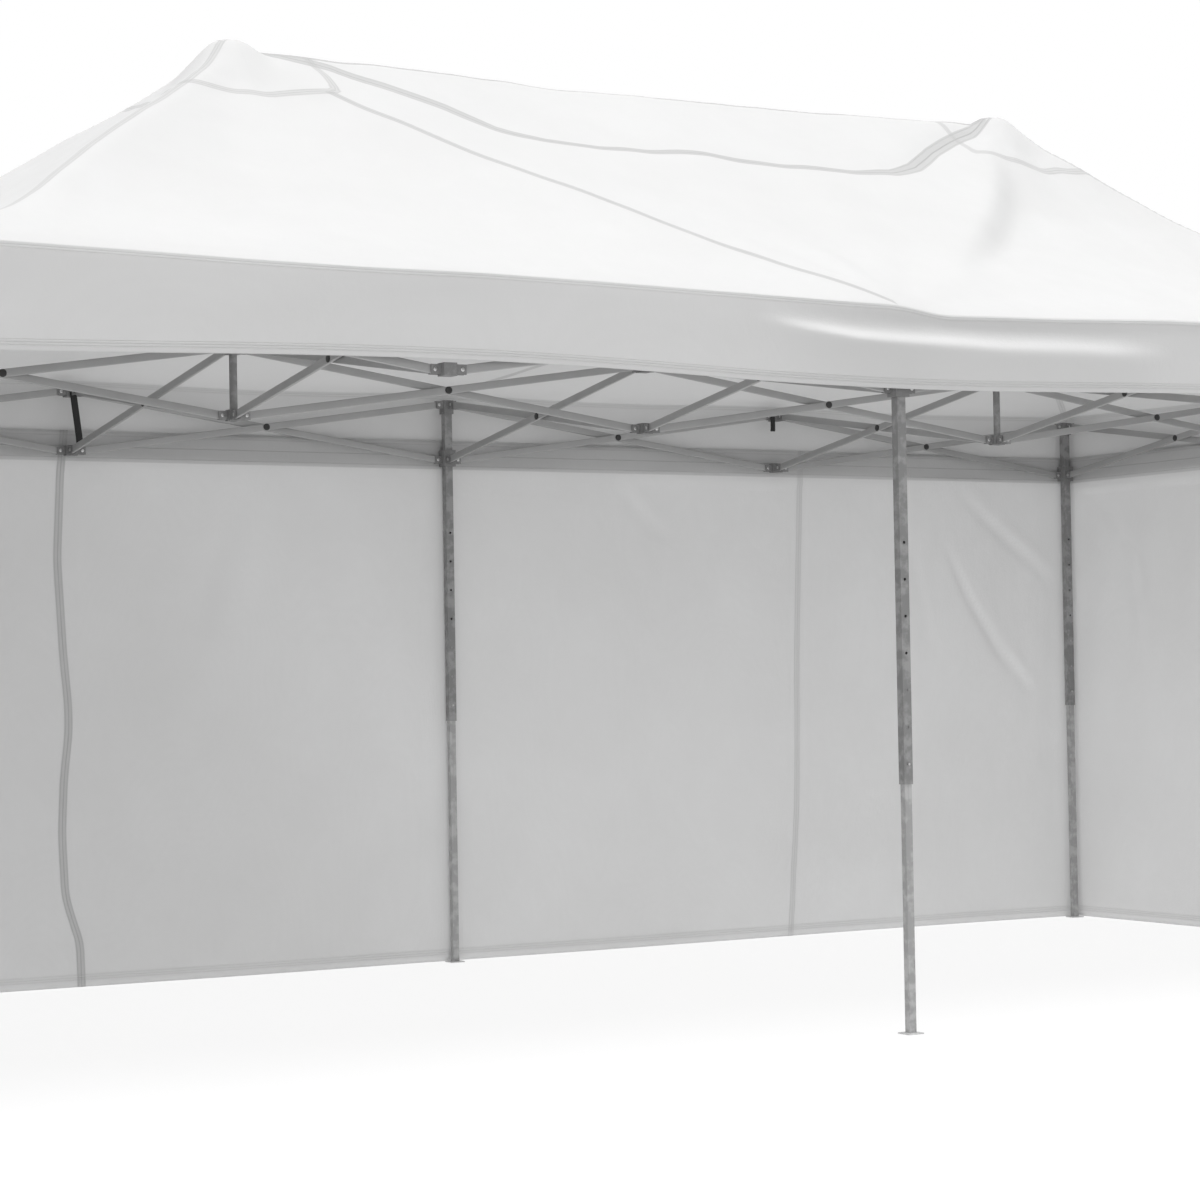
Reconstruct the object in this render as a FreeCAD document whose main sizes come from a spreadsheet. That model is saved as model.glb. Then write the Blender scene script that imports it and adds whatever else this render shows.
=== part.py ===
"""Pop-up gazebo, two square bays long and one deep: six telescopic legs, a grid of scissor trusses,
two king posts, a hip-roof canopy with a valance, and side walls at the back and both ends.

Millimetres, +Z up. The origin is on the ground under the middle of the plan; the open long side is -Y.
"""
import FreeCAD, Part
import Sketcher
import math
import os
import re

V = FreeCAD.Vector
doc = FreeCAD.newDocument("PopUpGazebo")

# ---------------------------------------------------------------- driving dimensions
SIZES = {
    "Bay": 3000,             # leg to leg along X and along Y
    "FrontLegEnd": 740,      # lower end of the front outer legs
    "BackLegEnd": 920,       # lower end of the back outer legs
    "LegTop": 2142,
    "LegSide": 30,
    "LegWall": 1.2,
    "InnerSide": 24,
    "InnerWall": 1.2,
    "InnerOverlap": 320,     # how far an inner leg reaches up inside its outer leg
    "HolePitch": 110,        # height-setting holes
    "HoleRise": 60,          # first hole above the outer leg's lower end
    "SnapHole": 8.6,
    "SnapPin": 7.6,
    "SnapReach": 19,         # tip of the snap button from the leg axis
    "FootSide": 56,
    "FootPlate": 4,
    "PegHole": 10,
    "PegOffset": 20,
    "UpperPin": 2130,
    "LowerPin": 1920,
    "PinOffset": 38,         # truss pin from the upright's axis
    "PinWidth": 7.4,
    "PinHole": 8.4,
    "HeadWidth": 12,
    "HeadThick": 1.4,
    "BarHeight": 25,
    "BarThick": 12,
    "BarWall": 0.8,
    "BarEnd": 10,            # bar beyond its end pin
    "BarShift": 7,           # each bar of a pair sits this far off the truss plane
    "CheekThick": 3,
    "CheekHeight": 28,
    "CheekGap": 0.6,
    "CheekEnd": 12,          # cheek beyond the pin
    "BracketHalf": 20,
    "BracketDrop": 34,
    "BracketRise": 18,
    "SliderHalf": 24,
    "SliderDrop": 25,
    "SliderRise": 37,
    "SliderBore": 31,
    "ButtonWidth": 14,
    "ButtonDepth": 7,
    "ButtonSeat": 3.5,
    "ButtonProud": 2.5,
    "PostWidth": 25,
    "PostWall": 1.5,
    "PostBottom": 1902,
    "PostTop": 3036,
    "CapWidth": 64,
    "CapHeight": 14,
    "PostBore": 26,
    "Eave": 2168,
    "Ridge": 3092,
    "Overhang": 45,          # canopy edge beyond the leg axes
    "Fabric": 1.6,
    "RoofDepth": 1.9,        # roof fabric measured straight down
    "HipSag": 110,           # how far the roof hangs below straight lines, halfway down each hip,
    "CreaseSag": 30,         # halfway down each crease from a peak to a middle leg,
    "RidgeSag": 42,          # and halfway along the ridge
    "ValanceEnd": 1900,
    "WallGap": 30,           # inner face of the walls beyond the leg axes
    "WallThick": 1.6,
    "WallFoot": 8,
    "WallHead": 2000,
    "PanelGap": 2,
}
sheet = doc.addObject("Spreadsheet::Sheet", "Sizes")
for row, (alias, value) in enumerate(SIZES.items(), start=1):
    sheet.set(f"A{row}", alias)
    sheet.set(f"B{row}", str(value))
    sheet.setAlias(f"B{row}", alias)
doc.recompute()


def size(alias):
    """A dimension as a number, for shapes that are built by hand."""
    return float(sheet.get(alias))


def named(text):
    """An expression in plain aliases, with each alias pointed at the sheet."""
    return re.sub(r"[A-Za-z]+", lambda m: f"Sizes.{m[0]}" if m[0] in SIZES else m[0], text)


def bind(obj, **expressions):
    for prop, text in expressions.items():
        obj.setExpression(prop.replace("_", "."), named(text))
    return obj


def place(obj, x="0", y="0", z="0"):
    """Put an object by expressions; its rotation is set before this."""
    for axis, text in zip("xyz", (x, y, z)):
        obj.setExpression(f".Placement.Base.{axis}", named(text))
    return obj


def box(name, length, width, height, x, y, z):
    """A box with its centre at x, y and its underside at z."""
    obj = bind(doc.addObject("Part::Box", name), Length=length, Width=width, Height=height)
    return place(obj, f"( {x} ) - ( {length} ) / 2", f"( {y} ) - ( {width} ) / 2", z)


def rod(name, width, length, x, y, z, axis=V(0, 0, 1)):
    """A cylinder of a given diameter that starts at x, y, z and runs along axis."""
    obj = bind(doc.addObject("Part::Cylinder", name), Radius=f"( {width} ) / 2", Height=length)
    obj.Placement = FreeCAD.Placement(V(), FreeCAD.Rotation(V(0, 0, 1), axis))
    return place(obj, x, y, z)


def fuse(name, shapes):
    obj = doc.addObject("Part::MultiFuse", name)
    obj.Shapes = shapes
    obj.Refine = True
    return obj


def cut(name, base, tool):
    obj = doc.addObject("Part::Cut", name)
    obj.Base = base
    obj.Tool = tool
    return obj


def gather(name, links):
    obj = doc.addObject("Part::Compound", name)
    obj.Links = links
    return obj


pieces = []


def keep(obj, label):
    """Mark an object as a finished piece; its label names its file."""
    obj.Label = label
    pieces.append(obj)
    return obj


# ---------------------------------------------------------------- where the uprights stand
FAR = {-1: "- Bay", -0.5: "- Bay / 2", 0: "0", 0.5: "Bay / 2", 1: "Bay"}
ROWS = {"front": -0.5, "back": 0.5}
COLUMNS = {"left": -1, "middle": 0, "right": 1}
LEGS = [(row, column) for row in ROWS for column in COLUMNS]
DIRECTIONS = {"east": V(1, 0, 0), "west": V(-1, 0, 0), "north": V(0, 1, 0), "south": V(0, -1, 0)}


def at(column, row):
    """X and Y expressions of a point of the plan, in bays from the middle."""
    return FAR[column], FAR[row]


# ---------------------------------------------------------------- tubes, as bodies with sketches
def plane(body, role):
    for feature in body.Origin.OriginFeatures:
        if feature.Role == role:
            return feature


def sketch_on(body, name, role, z="0"):
    sketch = body.newObject("Sketcher::SketchObject", name)
    sketch.AttachmentSupport = [(plane(body, role), "")]
    sketch.MapMode = "FlatFace"
    sketch.setExpression(".AttachmentOffset.Base.z", named(z))
    return sketch


def rectangle(sketch, name, width):
    """A square centred on the sketch origin, with its side bound to the sheet."""
    half = 10
    corners = [V(-half, -half, 0), V(half, -half, 0), V(half, half, 0), V(-half, half, 0)]
    lines = [Part.LineSegment(corners[n], corners[(n + 1) % 4]) for n in range(4)]
    first = sketch.addGeometry(lines, False)[0]
    for n in range(4):
        sketch.addConstraint(
            Sketcher.Constraint("Coincident", first + n, 2, first + (n + 1) % 4, 1))
    for n, kind in enumerate(("Horizontal", "Vertical", "Horizontal", "Vertical")):
        sketch.addConstraint(Sketcher.Constraint(kind, first + n))
    sketch.addConstraint(Sketcher.Constraint("Symmetric", first, 1, first + 1, 2, -1, 1))
    for side, line in (("Wide", first), ("High", first + 1)):
        number = sketch.addConstraint(Sketcher.Constraint("Distance", line, 1, line, 2, 2 * half))
        sketch.renameConstraint(number, name + side)
        sketch.setExpression(f"Constraints.{name}{side}", named(width))


def circle(sketch, name, width, x="0", y="0"):
    """A circle with its diameter and centre bound to the sheet."""
    arc = sketch.addGeometry(Part.Circle(V(1, 1, 0), V(0, 0, 1), 4), False)
    number = sketch.addConstraint(Sketcher.Constraint("Diameter", arc, 8))
    sketch.renameConstraint(number, name + "Width")
    sketch.setExpression(f"Constraints.{name}Width", named(width))
    for kind, text in (("X", x), ("Y", y)):
        number = sketch.addConstraint(Sketcher.Constraint(f"Distance{kind}", -1, 1, arc, 3, 1))
        sketch.renameConstraint(number, name + kind)
        sketch.setExpression(f"Constraints.{name}{kind}", named(text))


def pad(body, name, sketch, length):
    feature = body.newObject("PartDesign::Pad", name)
    feature.Profile = sketch
    feature.setExpression("Length", named(length))
    return feature


def front_hole(body, name, sketch):
    """A hole from the tube's axis out through its -Y wall only."""
    before = body.Shape.Solids[0]
    feature = body.newObject("PartDesign::Pocket", name)
    feature.Profile = sketch
    feature.setExpression("Length", named("LegSide"))
    for reverse in (False, True):
        feature.Reversed = reverse
        doc.recompute()
        after = feature.Shape.Solids[0]
        if after.Volume < before.Volume and after.CenterOfMass.y > before.CenterOfMass.y:
            return feature
    raise RuntimeError(f"{name} cuts nothing")


def outer_leg(row, column):
    """A square tube with a row of height-setting holes up its front face."""
    tag = f"{row}_{column}"
    end = "FrontLegEnd" if row == "front" else "BackLegEnd"
    body = doc.addObject("PartDesign::Body", f"OuterLeg_{tag}")
    profile = sketch_on(body, f"OuterProfile_{tag}", "XY_Plane")
    rectangle(profile, "Outer", "LegSide")
    rectangle(profile, "Inner", "LegSide - 2 * LegWall")
    pad(body, f"OuterTube_{tag}", profile, f"LegTop - {end}")
    doc.recompute()
    drill = sketch_on(body, f"OuterDrill_{tag}", "XZ_Plane")
    circle(drill, "Hole", "SnapHole", "0", "HoleRise")
    doc.recompute()
    hole = front_hole(body, f"OuterHole_{tag}", drill)
    row_of_holes = body.newObject("PartDesign::LinearPattern", f"OuterHoles_{tag}")
    row_of_holes.Originals = [hole]
    row_of_holes.Direction = (drill, ["V_Axis"])
    row_of_holes.setExpression("Length", named("6 * HolePitch"))
    row_of_holes.Occurrences = 7
    body.Tip = row_of_holes
    x, y = at(COLUMNS[column], ROWS[row])
    place(body, x, y, end)
    return keep(body, f"outer_leg_{tag}")


def inner_leg(row, column):
    """A smaller square tube welded to a foot plate, with a snap hole and two peg holes."""
    tag = f"{row}_{column}"
    end = "FrontLegEnd" if row == "front" else "BackLegEnd"
    body = doc.addObject("PartDesign::Body", f"InnerLeg_{tag}")
    plate = sketch_on(body, f"FootProfile_{tag}", "XY_Plane")
    rectangle(plate, "Foot", "FootSide")
    circle(plate, "PegOne", "PegHole", "PegOffset", "PegOffset")
    circle(plate, "PegTwo", "PegHole", "- PegOffset", "- PegOffset")
    pad(body, f"FootPad_{tag}", plate, "FootPlate")
    doc.recompute()
    profile = sketch_on(body, f"InnerProfile_{tag}", "XY_Plane", "FootPlate")
    rectangle(profile, "Outer", "InnerSide")
    rectangle(profile, "Inner", "InnerSide - 2 * InnerWall")
    pad(body, f"InnerTube_{tag}", profile, f"{end} + InnerOverlap - FootPlate")
    doc.recompute()
    drill = sketch_on(body, f"InnerDrill_{tag}", "XZ_Plane")
    circle(drill, "Hole", "SnapHole", "0", f"{end} + HoleRise")
    doc.recompute()
    body.Tip = front_hole(body, f"InnerHole_{tag}", drill)
    x, y = at(COLUMNS[column], ROWS[row])
    place(body, x, y, "0")
    return keep(body, f"inner_leg_{tag}")


def snap_button(row, column):
    """A flanged pin inside the inner leg; its tip stands proud of the outer leg."""
    tag = f"{row}_{column}"
    end = "FrontLegEnd" if row == "front" else "BackLegEnd"
    x, y = at(COLUMNS[column], ROWS[row])
    south = V(0, -1, 0)
    height = f"{end} + HoleRise"
    pin = rod(f"SnapPin_{tag}", "SnapPin", "SnapReach - 8", x, f"( {y} ) - 8", height, south)
    flange = rod(f"SnapFlange_{tag}", "SnapPin + 6", "2", x, f"( {y} ) - 7", height, south)
    return keep(fuse(f"Snap_{tag}", [pin, flange]), f"snap_button_{tag}")


# ---------------------------------------------------------------- forks that hold the bar ends
def fork(tag, way, side, pin, reach_from):
    """Two cheeks along one direction, and the drill for their pin.

    side is +1 or -1: which side of the truss plane the held bar is on. The forward sense of a truss
    is +X or +Y, and its left is the positive side.
    """
    along = DIRECTIONS[way]
    forward = V(1, 0, 0) if abs(along.x) > 0.5 else V(0, 1, 0)
    left = V(0, 0, 1).cross(forward)
    length = f"( PinOffset + CheekEnd - ( {reach_from} ) + 1 )"
    middle = f"( ( PinOffset + CheekEnd + ( {reach_from} ) - 1 ) / 2 )"
    parts = []
    for edge in (-1, 1):
        shift = f"( {side} * BarShift + {edge} * ( BarThick / 2 + CheekGap + CheekThick / 2 ) )"
        x = f"{along.x:.0f} * {middle} + {left.x:.0f} * {shift}"
        y = f"{along.y:.0f} * {middle} + {left.y:.0f} * {shift}"
        if abs(along.x) > 0.5:
            wide, deep = length, "CheekThick"
        else:
            wide, deep = "CheekThick", length
        parts.append(box(f"Cheek_{tag}_{way}_{edge + 1}", wide, deep, "CheekHeight",
                         x, y, f"{pin} - CheekHeight / 2"))
    reach = "( BarShift + BarThick + 12 )"
    x = f"{along.x:.0f} * PinOffset - {left.x:.0f} * {reach}"
    y = f"{along.y:.0f} * PinOffset - {left.y:.0f} * {reach}"
    drill = rod(f"Drill_{tag}_{way}", "PinHole", f"2 * {reach}", x, y, pin, left)
    return parts, drill


def ways_of(column, row):
    """The directions in which a truss leaves an upright."""
    ways = []
    if column < 1:
        ways.append("east")
    if column > -1:
        ways.append("west")
    if row < 0.5:
        ways.append("north")
    if row > -0.5:
        ways.append("south")
    return ways


def side_of(way, upper):
    """A pair's falling bar starts high and lies left; its rising bar starts low and lies right."""
    leaving = way in ("east", "north")
    return 1 if leaving == upper else -1


def connector(tag, ways, upper, block, half, hole=None):
    """A moulded block with a fork for each truss that meets it, at one pin height."""
    pin = "UpperPin" if upper else "LowerPin"
    solids, drills = [block], []
    for way in ways:
        cheeks, drill = fork(tag, way, side_of(way, upper), pin, half)
        solids += cheeks
        drills.append(drill)
    if hole:
        drills.append(hole)
    return cut(f"Connector_{tag}", fuse(f"Solid_{tag}", solids), fuse(f"Drills_{tag}", drills))


def top_bracket(row, column):
    tag = f"Top_{row}_{column}"
    rise = "( BracketDrop + BracketRise )"
    block = box(f"Block_{tag}", "2 * BracketHalf", "2 * BracketHalf", rise,
                "0", "0", "UpperPin - BracketDrop")
    socket = box(f"Socket_{tag}", "LegSide + 0.4", "LegSide + 0.4", "LegTop + 0.2 - UpperPin + BracketDrop",
                 "0", "0", "UpperPin - BracketDrop")
    ways = ways_of(COLUMNS[column], ROWS[row])
    piece = connector(tag, ways, True, block, "BracketHalf", socket)
    place(piece, *at(COLUMNS[column], ROWS[row]))
    return keep(piece, f"top_bracket_{row}_{column}")


def slider(row, column):
    """The lower bracket that slides on the outer leg, with a seat for its release button."""
    tag = f"Slider_{row}_{column}"
    block = box(f"Block_{tag}", "2 * SliderHalf", "2 * SliderHalf", "SliderDrop + SliderRise",
                "0", "0", "LowerPin - SliderDrop")
    bore = box(f"Bore_{tag}", "SliderBore", "SliderBore", "SliderDrop + SliderRise",
               "0", "0", "LowerPin - SliderDrop")
    outward = -1 if row == "front" else 1
    seat = rod(f"Seat_{tag}", "ButtonWidth + 0.6", "ButtonDepth", "0",
               f"{outward} * ( SliderHalf - ButtonDepth )", "LowerPin + 16", V(0, outward, 0))
    ways = ways_of(COLUMNS[column], ROWS[row])
    piece = connector(tag, ways, False, block, "SliderHalf", fuse(f"Hollows_{tag}", [bore, seat]))
    place(piece, *at(COLUMNS[column], ROWS[row]))
    keep(piece, f"slider_{row}_{column}")
    x, y = at(COLUMNS[column], ROWS[row])
    button = rod(f"Button_{tag}", "ButtonWidth", "ButtonSeat + ButtonProud", x,
                 f"( {y} ) + {outward} * ( SliderHalf - ButtonSeat )", "LowerPin + 16", V(0, outward, 0))
    return keep(button, f"release_button_{row}_{column}")


def joint_pair(label, column, row, bore):
    """The upper and lower connectors of an upright that has no leg; bored if a post runs through."""
    both = []
    for upper in (True, False):
        level = "High" if upper else "Low"
        tag = f"{level}_{label}"
        pin = "UpperPin" if upper else "LowerPin"
        block = box(f"Block_{tag}", "2 * BracketHalf", "2 * BracketHalf", "2 * BracketRise",
                    "0", "0", f"{pin} - BracketRise")
        hole = None
        if bore:
            hole = rod(f"Hole_{tag}", "PostBore", "4 * BracketRise", "0", "0", f"{pin} - 2 * BracketRise")
        both.append(connector(tag, ways_of(column, row), upper, block, "BracketHalf", hole))
    return place(gather(f"Pair_{label}", both), *at(column, row))


def king_post(label, column):
    """A round tube through its two connectors, with a wide cap that carries the peak of the roof."""
    x, y = at(column, 0)
    hubs = joint_pair(f"Hubs_{label}", column, 0, True)
    tube = cut(f"Tube_{label}",
               rod(f"Outside_{label}", "PostWidth", "PostTop - PostBottom", x, y, "PostBottom"),
               rod(f"Inside_{label}", "PostWidth - 2 * PostWall", "PostTop - PostBottom", x, y, "PostBottom"))
    cap = rod(f"Cap_{label}", "CapWidth", "CapHeight", x, y, "PostTop")
    edge = doc.addObject("Part::Fillet", f"Round_{label}")
    edge.Base = cap
    doc.recompute()
    rim = [n for n, e in enumerate(cap.Shape.Edges, start=1)
           if abs(e.BoundBox.ZMin - cap.Shape.BoundBox.ZMax) < 1e-3 and e.Length > 10]
    edge.Edges = [(n, 9, 9) for n in rim]
    return keep(gather(f"Post_{label}", [hubs, tube, edge]), label)


# ---------------------------------------------------------------- scissor trusses
SPAN = "( Bay / 2 - 2 * PinOffset )"
DROP = "( UpperPin - LowerPin )"
span = size("Bay") / 2 - 2 * size("PinOffset")
drop = size("UpperPin") - size("LowerPin")
slope = math.degrees(math.atan2(drop, span))
LONG = f"sqrt({SPAN} ^ 2 + {DROP} ^ 2)"


def master_bar():
    """A rectangular tube along X, thin in Y, drilled at its middle and both ends."""
    length = f"( {LONG} + 2 * BarEnd )"
    outside = box("BarOutside", length, "BarThick", "BarHeight", "0", "0", "- BarHeight / 2")
    inside = box("BarInside", length, "BarThick - 2 * BarWall", "BarHeight - 2 * BarWall",
                 "0", "0", "BarWall - BarHeight / 2")
    drills = [rod(f"BarDrill{n}", "PinHole - 0.4", "3 * BarThick", f"{n - 1} * {LONG} / 2",
                  "-1.5 * BarThick", "0", V(0, 1, 0)) for n in range(3)]
    return cut("Bar", cut("BarTube", outside, inside), fuse("BarDrills", drills))


def master_pin(name, half_length):
    """A headed rivet along Y."""
    shank = rod(f"{name}Shank", "PinWidth", f"2 * {half_length}", "0", f"- {half_length}", "0", V(0, 1, 0))
    heads = [rod(f"{name}Head{n}", "HeadWidth", "HeadThick", "0",
                 f"{edge} * {half_length}", "0", V(0, edge, 0)) for n, edge in enumerate((-1, 1))]
    return fuse(name, [shank] + heads)


bar = master_bar()
end_pin = master_pin("EndPin", "( BarThick / 2 + CheekGap + CheekThick + 0.3 )")
middle_pin = master_pin("MiddlePin", "( BarShift + BarThick / 2 + 0.2 )")


def copy_of(master, name, turn, spot):
    link = doc.addObject("App::Link", name)
    link.LinkedObject = master
    link.LinkTransform = False
    link.Placement = FreeCAD.Placement(spot, turn)
    return link


def truss(label, stations, along_x):
    """A row of scissor pairs. stations are the middles of the pairs, in millimetres."""
    yaw = FreeCAD.Rotation(V(0, 0, 1), 0 if along_x else 90)
    middle = (size("UpperPin") + size("LowerPin")) / 2
    links = []
    for n, (x, y) in enumerate(stations):
        centre = V(x, y, middle)
        for side, tilt in ((1, slope), (-1, -slope)):
            turn = yaw.multiply(FreeCAD.Rotation(V(0, 1, 0), tilt))
            shift = yaw.multVec(V(0, side * size("BarShift"), 0))
            links.append(copy_of(bar, f"Bar_{label}_{n}_{side + 1}", turn, centre + shift))
            for end in (-1, 1):
                local = V(end * span / 2, side * size("BarShift"), -end * side * drop / 2)
                links.append(copy_of(end_pin, f"Pin_{label}_{n}_{side + 1}_{end + 1}", yaw,
                                     centre + yaw.multVec(local)))
        links.append(copy_of(middle_pin, f"Rivet_{label}_{n}", yaw, centre))
    return keep(gather(f"Truss_{label}", links), label)


# ---------------------------------------------------------------- fabric
def sheet_solid(corners, depth):
    """A flat panel given by its upper outline, taken straight down by depth."""
    wire = Part.makePolygon(corners + corners[:1])
    return Part.Face(wire).extrude(V(0, 0, -depth))


def slab(x0, x1, y0, y1, z0, z1):
    return Part.makeBox(x1 - x0, y1 - y0, z1 - z0, V(x0, y0, z0))


def canopy_half(front):
    """One slope of the roof and its share of both ends, as (corner lists above mid-slope, below it)."""
    sign = -1 if front else 1
    half_x = size("Bay") + size("Overhang")
    half_y = size("Bay") / 2 + size("Overhang")
    peak_x = size("Bay") / 2
    eave, ridge = size("Eave"), size("Ridge")
    level = (eave + ridge) / 2
    y = sign * half_y / 2
    crest = V(0, 0, ridge - size("RidgeSag"))
    middle_eave = V(0, sign * half_y, eave)
    creases = [V(s * peak_x / 2, y, level - size("CreaseSag")) for s in (-1, 1)]
    above, below = [[creases[0], creases[1], crest]], [[creases[0], creases[1], middle_eave]]
    for s, crease in zip((-1, 1), creases):
        peak = V(s * peak_x, 0, ridge)
        hip = V(s * (half_x + peak_x) / 2, y, level - size("HipSag"))
        corner = V(s * half_x, sign * half_y, eave)
        end_middle = V(s * half_x, 0, eave)
        end_quarter = V(s * half_x, y, eave)
        above += [[crest, peak, crease], [peak, hip, crease],
                  [peak, hip, end_middle], [hip, end_quarter, end_middle]]
        below += [[hip, corner, crease], [corner, middle_eave, crease], [hip, corner, end_quarter]]
    return above, below


def canopy_strip(label, panels, y_in, y_out, closed):
    """A lengthwise strip of the roof with its valance; closed adds the long valance at y_out."""
    half_x = size("Bay") + size("Overhang")
    fabric = size("Fabric")
    foot, head = size("ValanceEnd"), size("Eave") - size("RoofDepth")
    solids = [sheet_solid(corners, size("RoofDepth")) for corners in panels]
    low, high = sorted((y_in, y_out))
    for x0, x1 in ((-half_x, fabric - half_x), (half_x - fabric, half_x)):
        solids.append(slab(x0, x1, low, high, foot, head))
    if closed:
        low, high = sorted((y_out, y_out - math.copysign(fabric, y_out)))
        solids.append(slab(fabric - half_x, half_x - fabric, low, high, foot, head))
    strip = doc.addObject("Part::Feature", f"Strip_{label}")
    strip.Shape = Part.makeCompound(solids)
    strip.Placement = FreeCAD.Placement()
    return keep(strip, label)


def walls():
    height = "WallHead - WallFoot"
    inner_x = "( Bay + WallGap )"
    inner_y = "( Bay / 2 + WallGap )"
    panels = []
    for n, s in enumerate((-1, 1)):
        width = f"( {inner_x} - PanelGap * 1.5 )"
        panels.append(box(f"BackPanel{n}", width, "WallThick", height,
                          f"{s} * ( {width} / 2 + PanelGap / 2 )", f"{inner_y} + WallThick / 2", "WallFoot"))
    keep(gather("BackWall", panels), "wall_back")
    for name, s in (("left", -1), ("right", 1)):
        end = box(f"EndWall_{name}", "WallThick", f"2 * {inner_y}", height,
                  f"{s} * ( {inner_x} + WallThick / 2 )", "0", "WallFoot")
        keep(end, f"wall_{name}")


# ---------------------------------------------------------------- the whole gazebo
for row, column in LEGS:
    outer_leg(row, column)
    inner_leg(row, column)
    snap_button(row, column)
    top_bracket(row, column)
    slider(row, column)

UPRIGHTS = {
    "joint_front_left": (-0.5, -0.5),
    "joint_front_right": (0.5, -0.5),
    "joint_back_left": (-0.5, 0.5),
    "joint_back_right": (0.5, 0.5),
    "joint_left_end": (-1, 0),
    "joint_right_end": (1, 0),
    "joint_centre": (0, 0),
}
for label, (column, row) in UPRIGHTS.items():
    keep(joint_pair(label, column, row, False), label)
for label, column in (("king_post_left", -0.5), ("king_post_right", 0.5)):
    king_post(label, column)

bay = size("Bay")
LONG_WAY = [-0.75 * bay, -0.25 * bay, 0.25 * bay, 0.75 * bay]
SHORT_WAY = [-0.25 * bay, 0.25 * bay]
for label, y in (("truss_front", -bay / 2), ("truss_ridge", 0), ("truss_back", bay / 2)):
    truss(label, [(x, y) for x in LONG_WAY], True)
for label, x in (("truss_left_end", -bay), ("truss_cross_left", -bay / 2), ("truss_middle", 0),
                 ("truss_cross_right", bay / 2), ("truss_right_end", bay)):
    truss(label, [(x, y) for y in SHORT_WAY], False)

edge_y = bay / 2 + size("Overhang")
for side, sign in (("front", -1), ("back", 1)):
    above, below = canopy_half(side == "front")
    canopy_strip(f"canopy_ridge_{side}", above, 0, sign * edge_y / 2, False)
    canopy_strip(f"canopy_{side}", below, sign * edge_y / 2, sign * edge_y, True)
walls()

# ---------------------------------------------------------------- checks and export
doc.recompute()
for obj in doc.Objects:
    if "Invalid" in obj.State or "Error" in obj.State:
        raise RuntimeError(f"{obj.Name} did not build: {obj.State}")
for obj in pieces:
    shape = obj.Shape
    if shape.isNull() or not shape.isValid():
        raise RuntimeError(f"{obj.Label} has a bad shape")
os.makedirs("parts", exist_ok=True)
for obj in pieces:
    obj.Shape.exportStep(os.path.join("parts", obj.Label + ".step"))
print(len(pieces), "pieces")
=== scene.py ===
import math

import bmesh
import bpy
import numpy as np
from mathutils import Matrix, Vector


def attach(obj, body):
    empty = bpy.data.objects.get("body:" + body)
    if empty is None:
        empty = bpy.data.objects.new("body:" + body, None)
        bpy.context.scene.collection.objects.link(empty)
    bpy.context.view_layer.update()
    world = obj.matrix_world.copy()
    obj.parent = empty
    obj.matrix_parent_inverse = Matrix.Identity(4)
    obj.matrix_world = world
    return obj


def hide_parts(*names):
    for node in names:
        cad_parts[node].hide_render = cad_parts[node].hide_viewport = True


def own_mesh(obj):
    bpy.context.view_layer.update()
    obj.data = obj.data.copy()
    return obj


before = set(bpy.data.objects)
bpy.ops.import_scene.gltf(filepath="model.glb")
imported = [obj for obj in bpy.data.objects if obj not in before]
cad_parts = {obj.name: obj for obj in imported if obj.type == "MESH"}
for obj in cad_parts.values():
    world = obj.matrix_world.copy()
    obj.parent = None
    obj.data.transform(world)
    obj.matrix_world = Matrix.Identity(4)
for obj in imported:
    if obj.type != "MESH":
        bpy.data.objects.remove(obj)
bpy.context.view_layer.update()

# Plan of the gazebo, in metres: +X along the long side, -Y the open front.
BAY = 3.0
HALF_X, HALF_Y = 3.045, 1.545       # canopy edge
PEAK_X = 1.5
EAVE, RIDGE = 2.175, 3.092
PEAK_CAP = 3.106                    # top of the cloth over a king post
LEG_COVER = 2.153                   # least height of the cloth over a middle leg
VALANCE_END = 1.902
RIM_INSET = 0.004                   # how far the roof's rim stays inside the canopy edge
HEM_DEPTH = 0.022
PATCH_HALF = 0.26                   # half width of the reinforcement round a peak
WALL_TOP = 1.997
WALL_BACK_Y, WALL_END_X = 1.5302, 3.0302
WALL_HALF = 1.5298                  # half length of an end wall
UPPER_PIN, LOWER_PIN = 2.130, 1.920
PIN_OFFSET = 0.038                  # of a truss pin from the middle of its upright
BAR_SHIFT = 0.007                   # of each bar of a crossed pair from the truss's middle plane
CUT_Y = HALF_Y / 2                  # where the canopy is parted for the fold
NO_SEAM = 9.0                       # a seam distance too large to show


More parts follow.
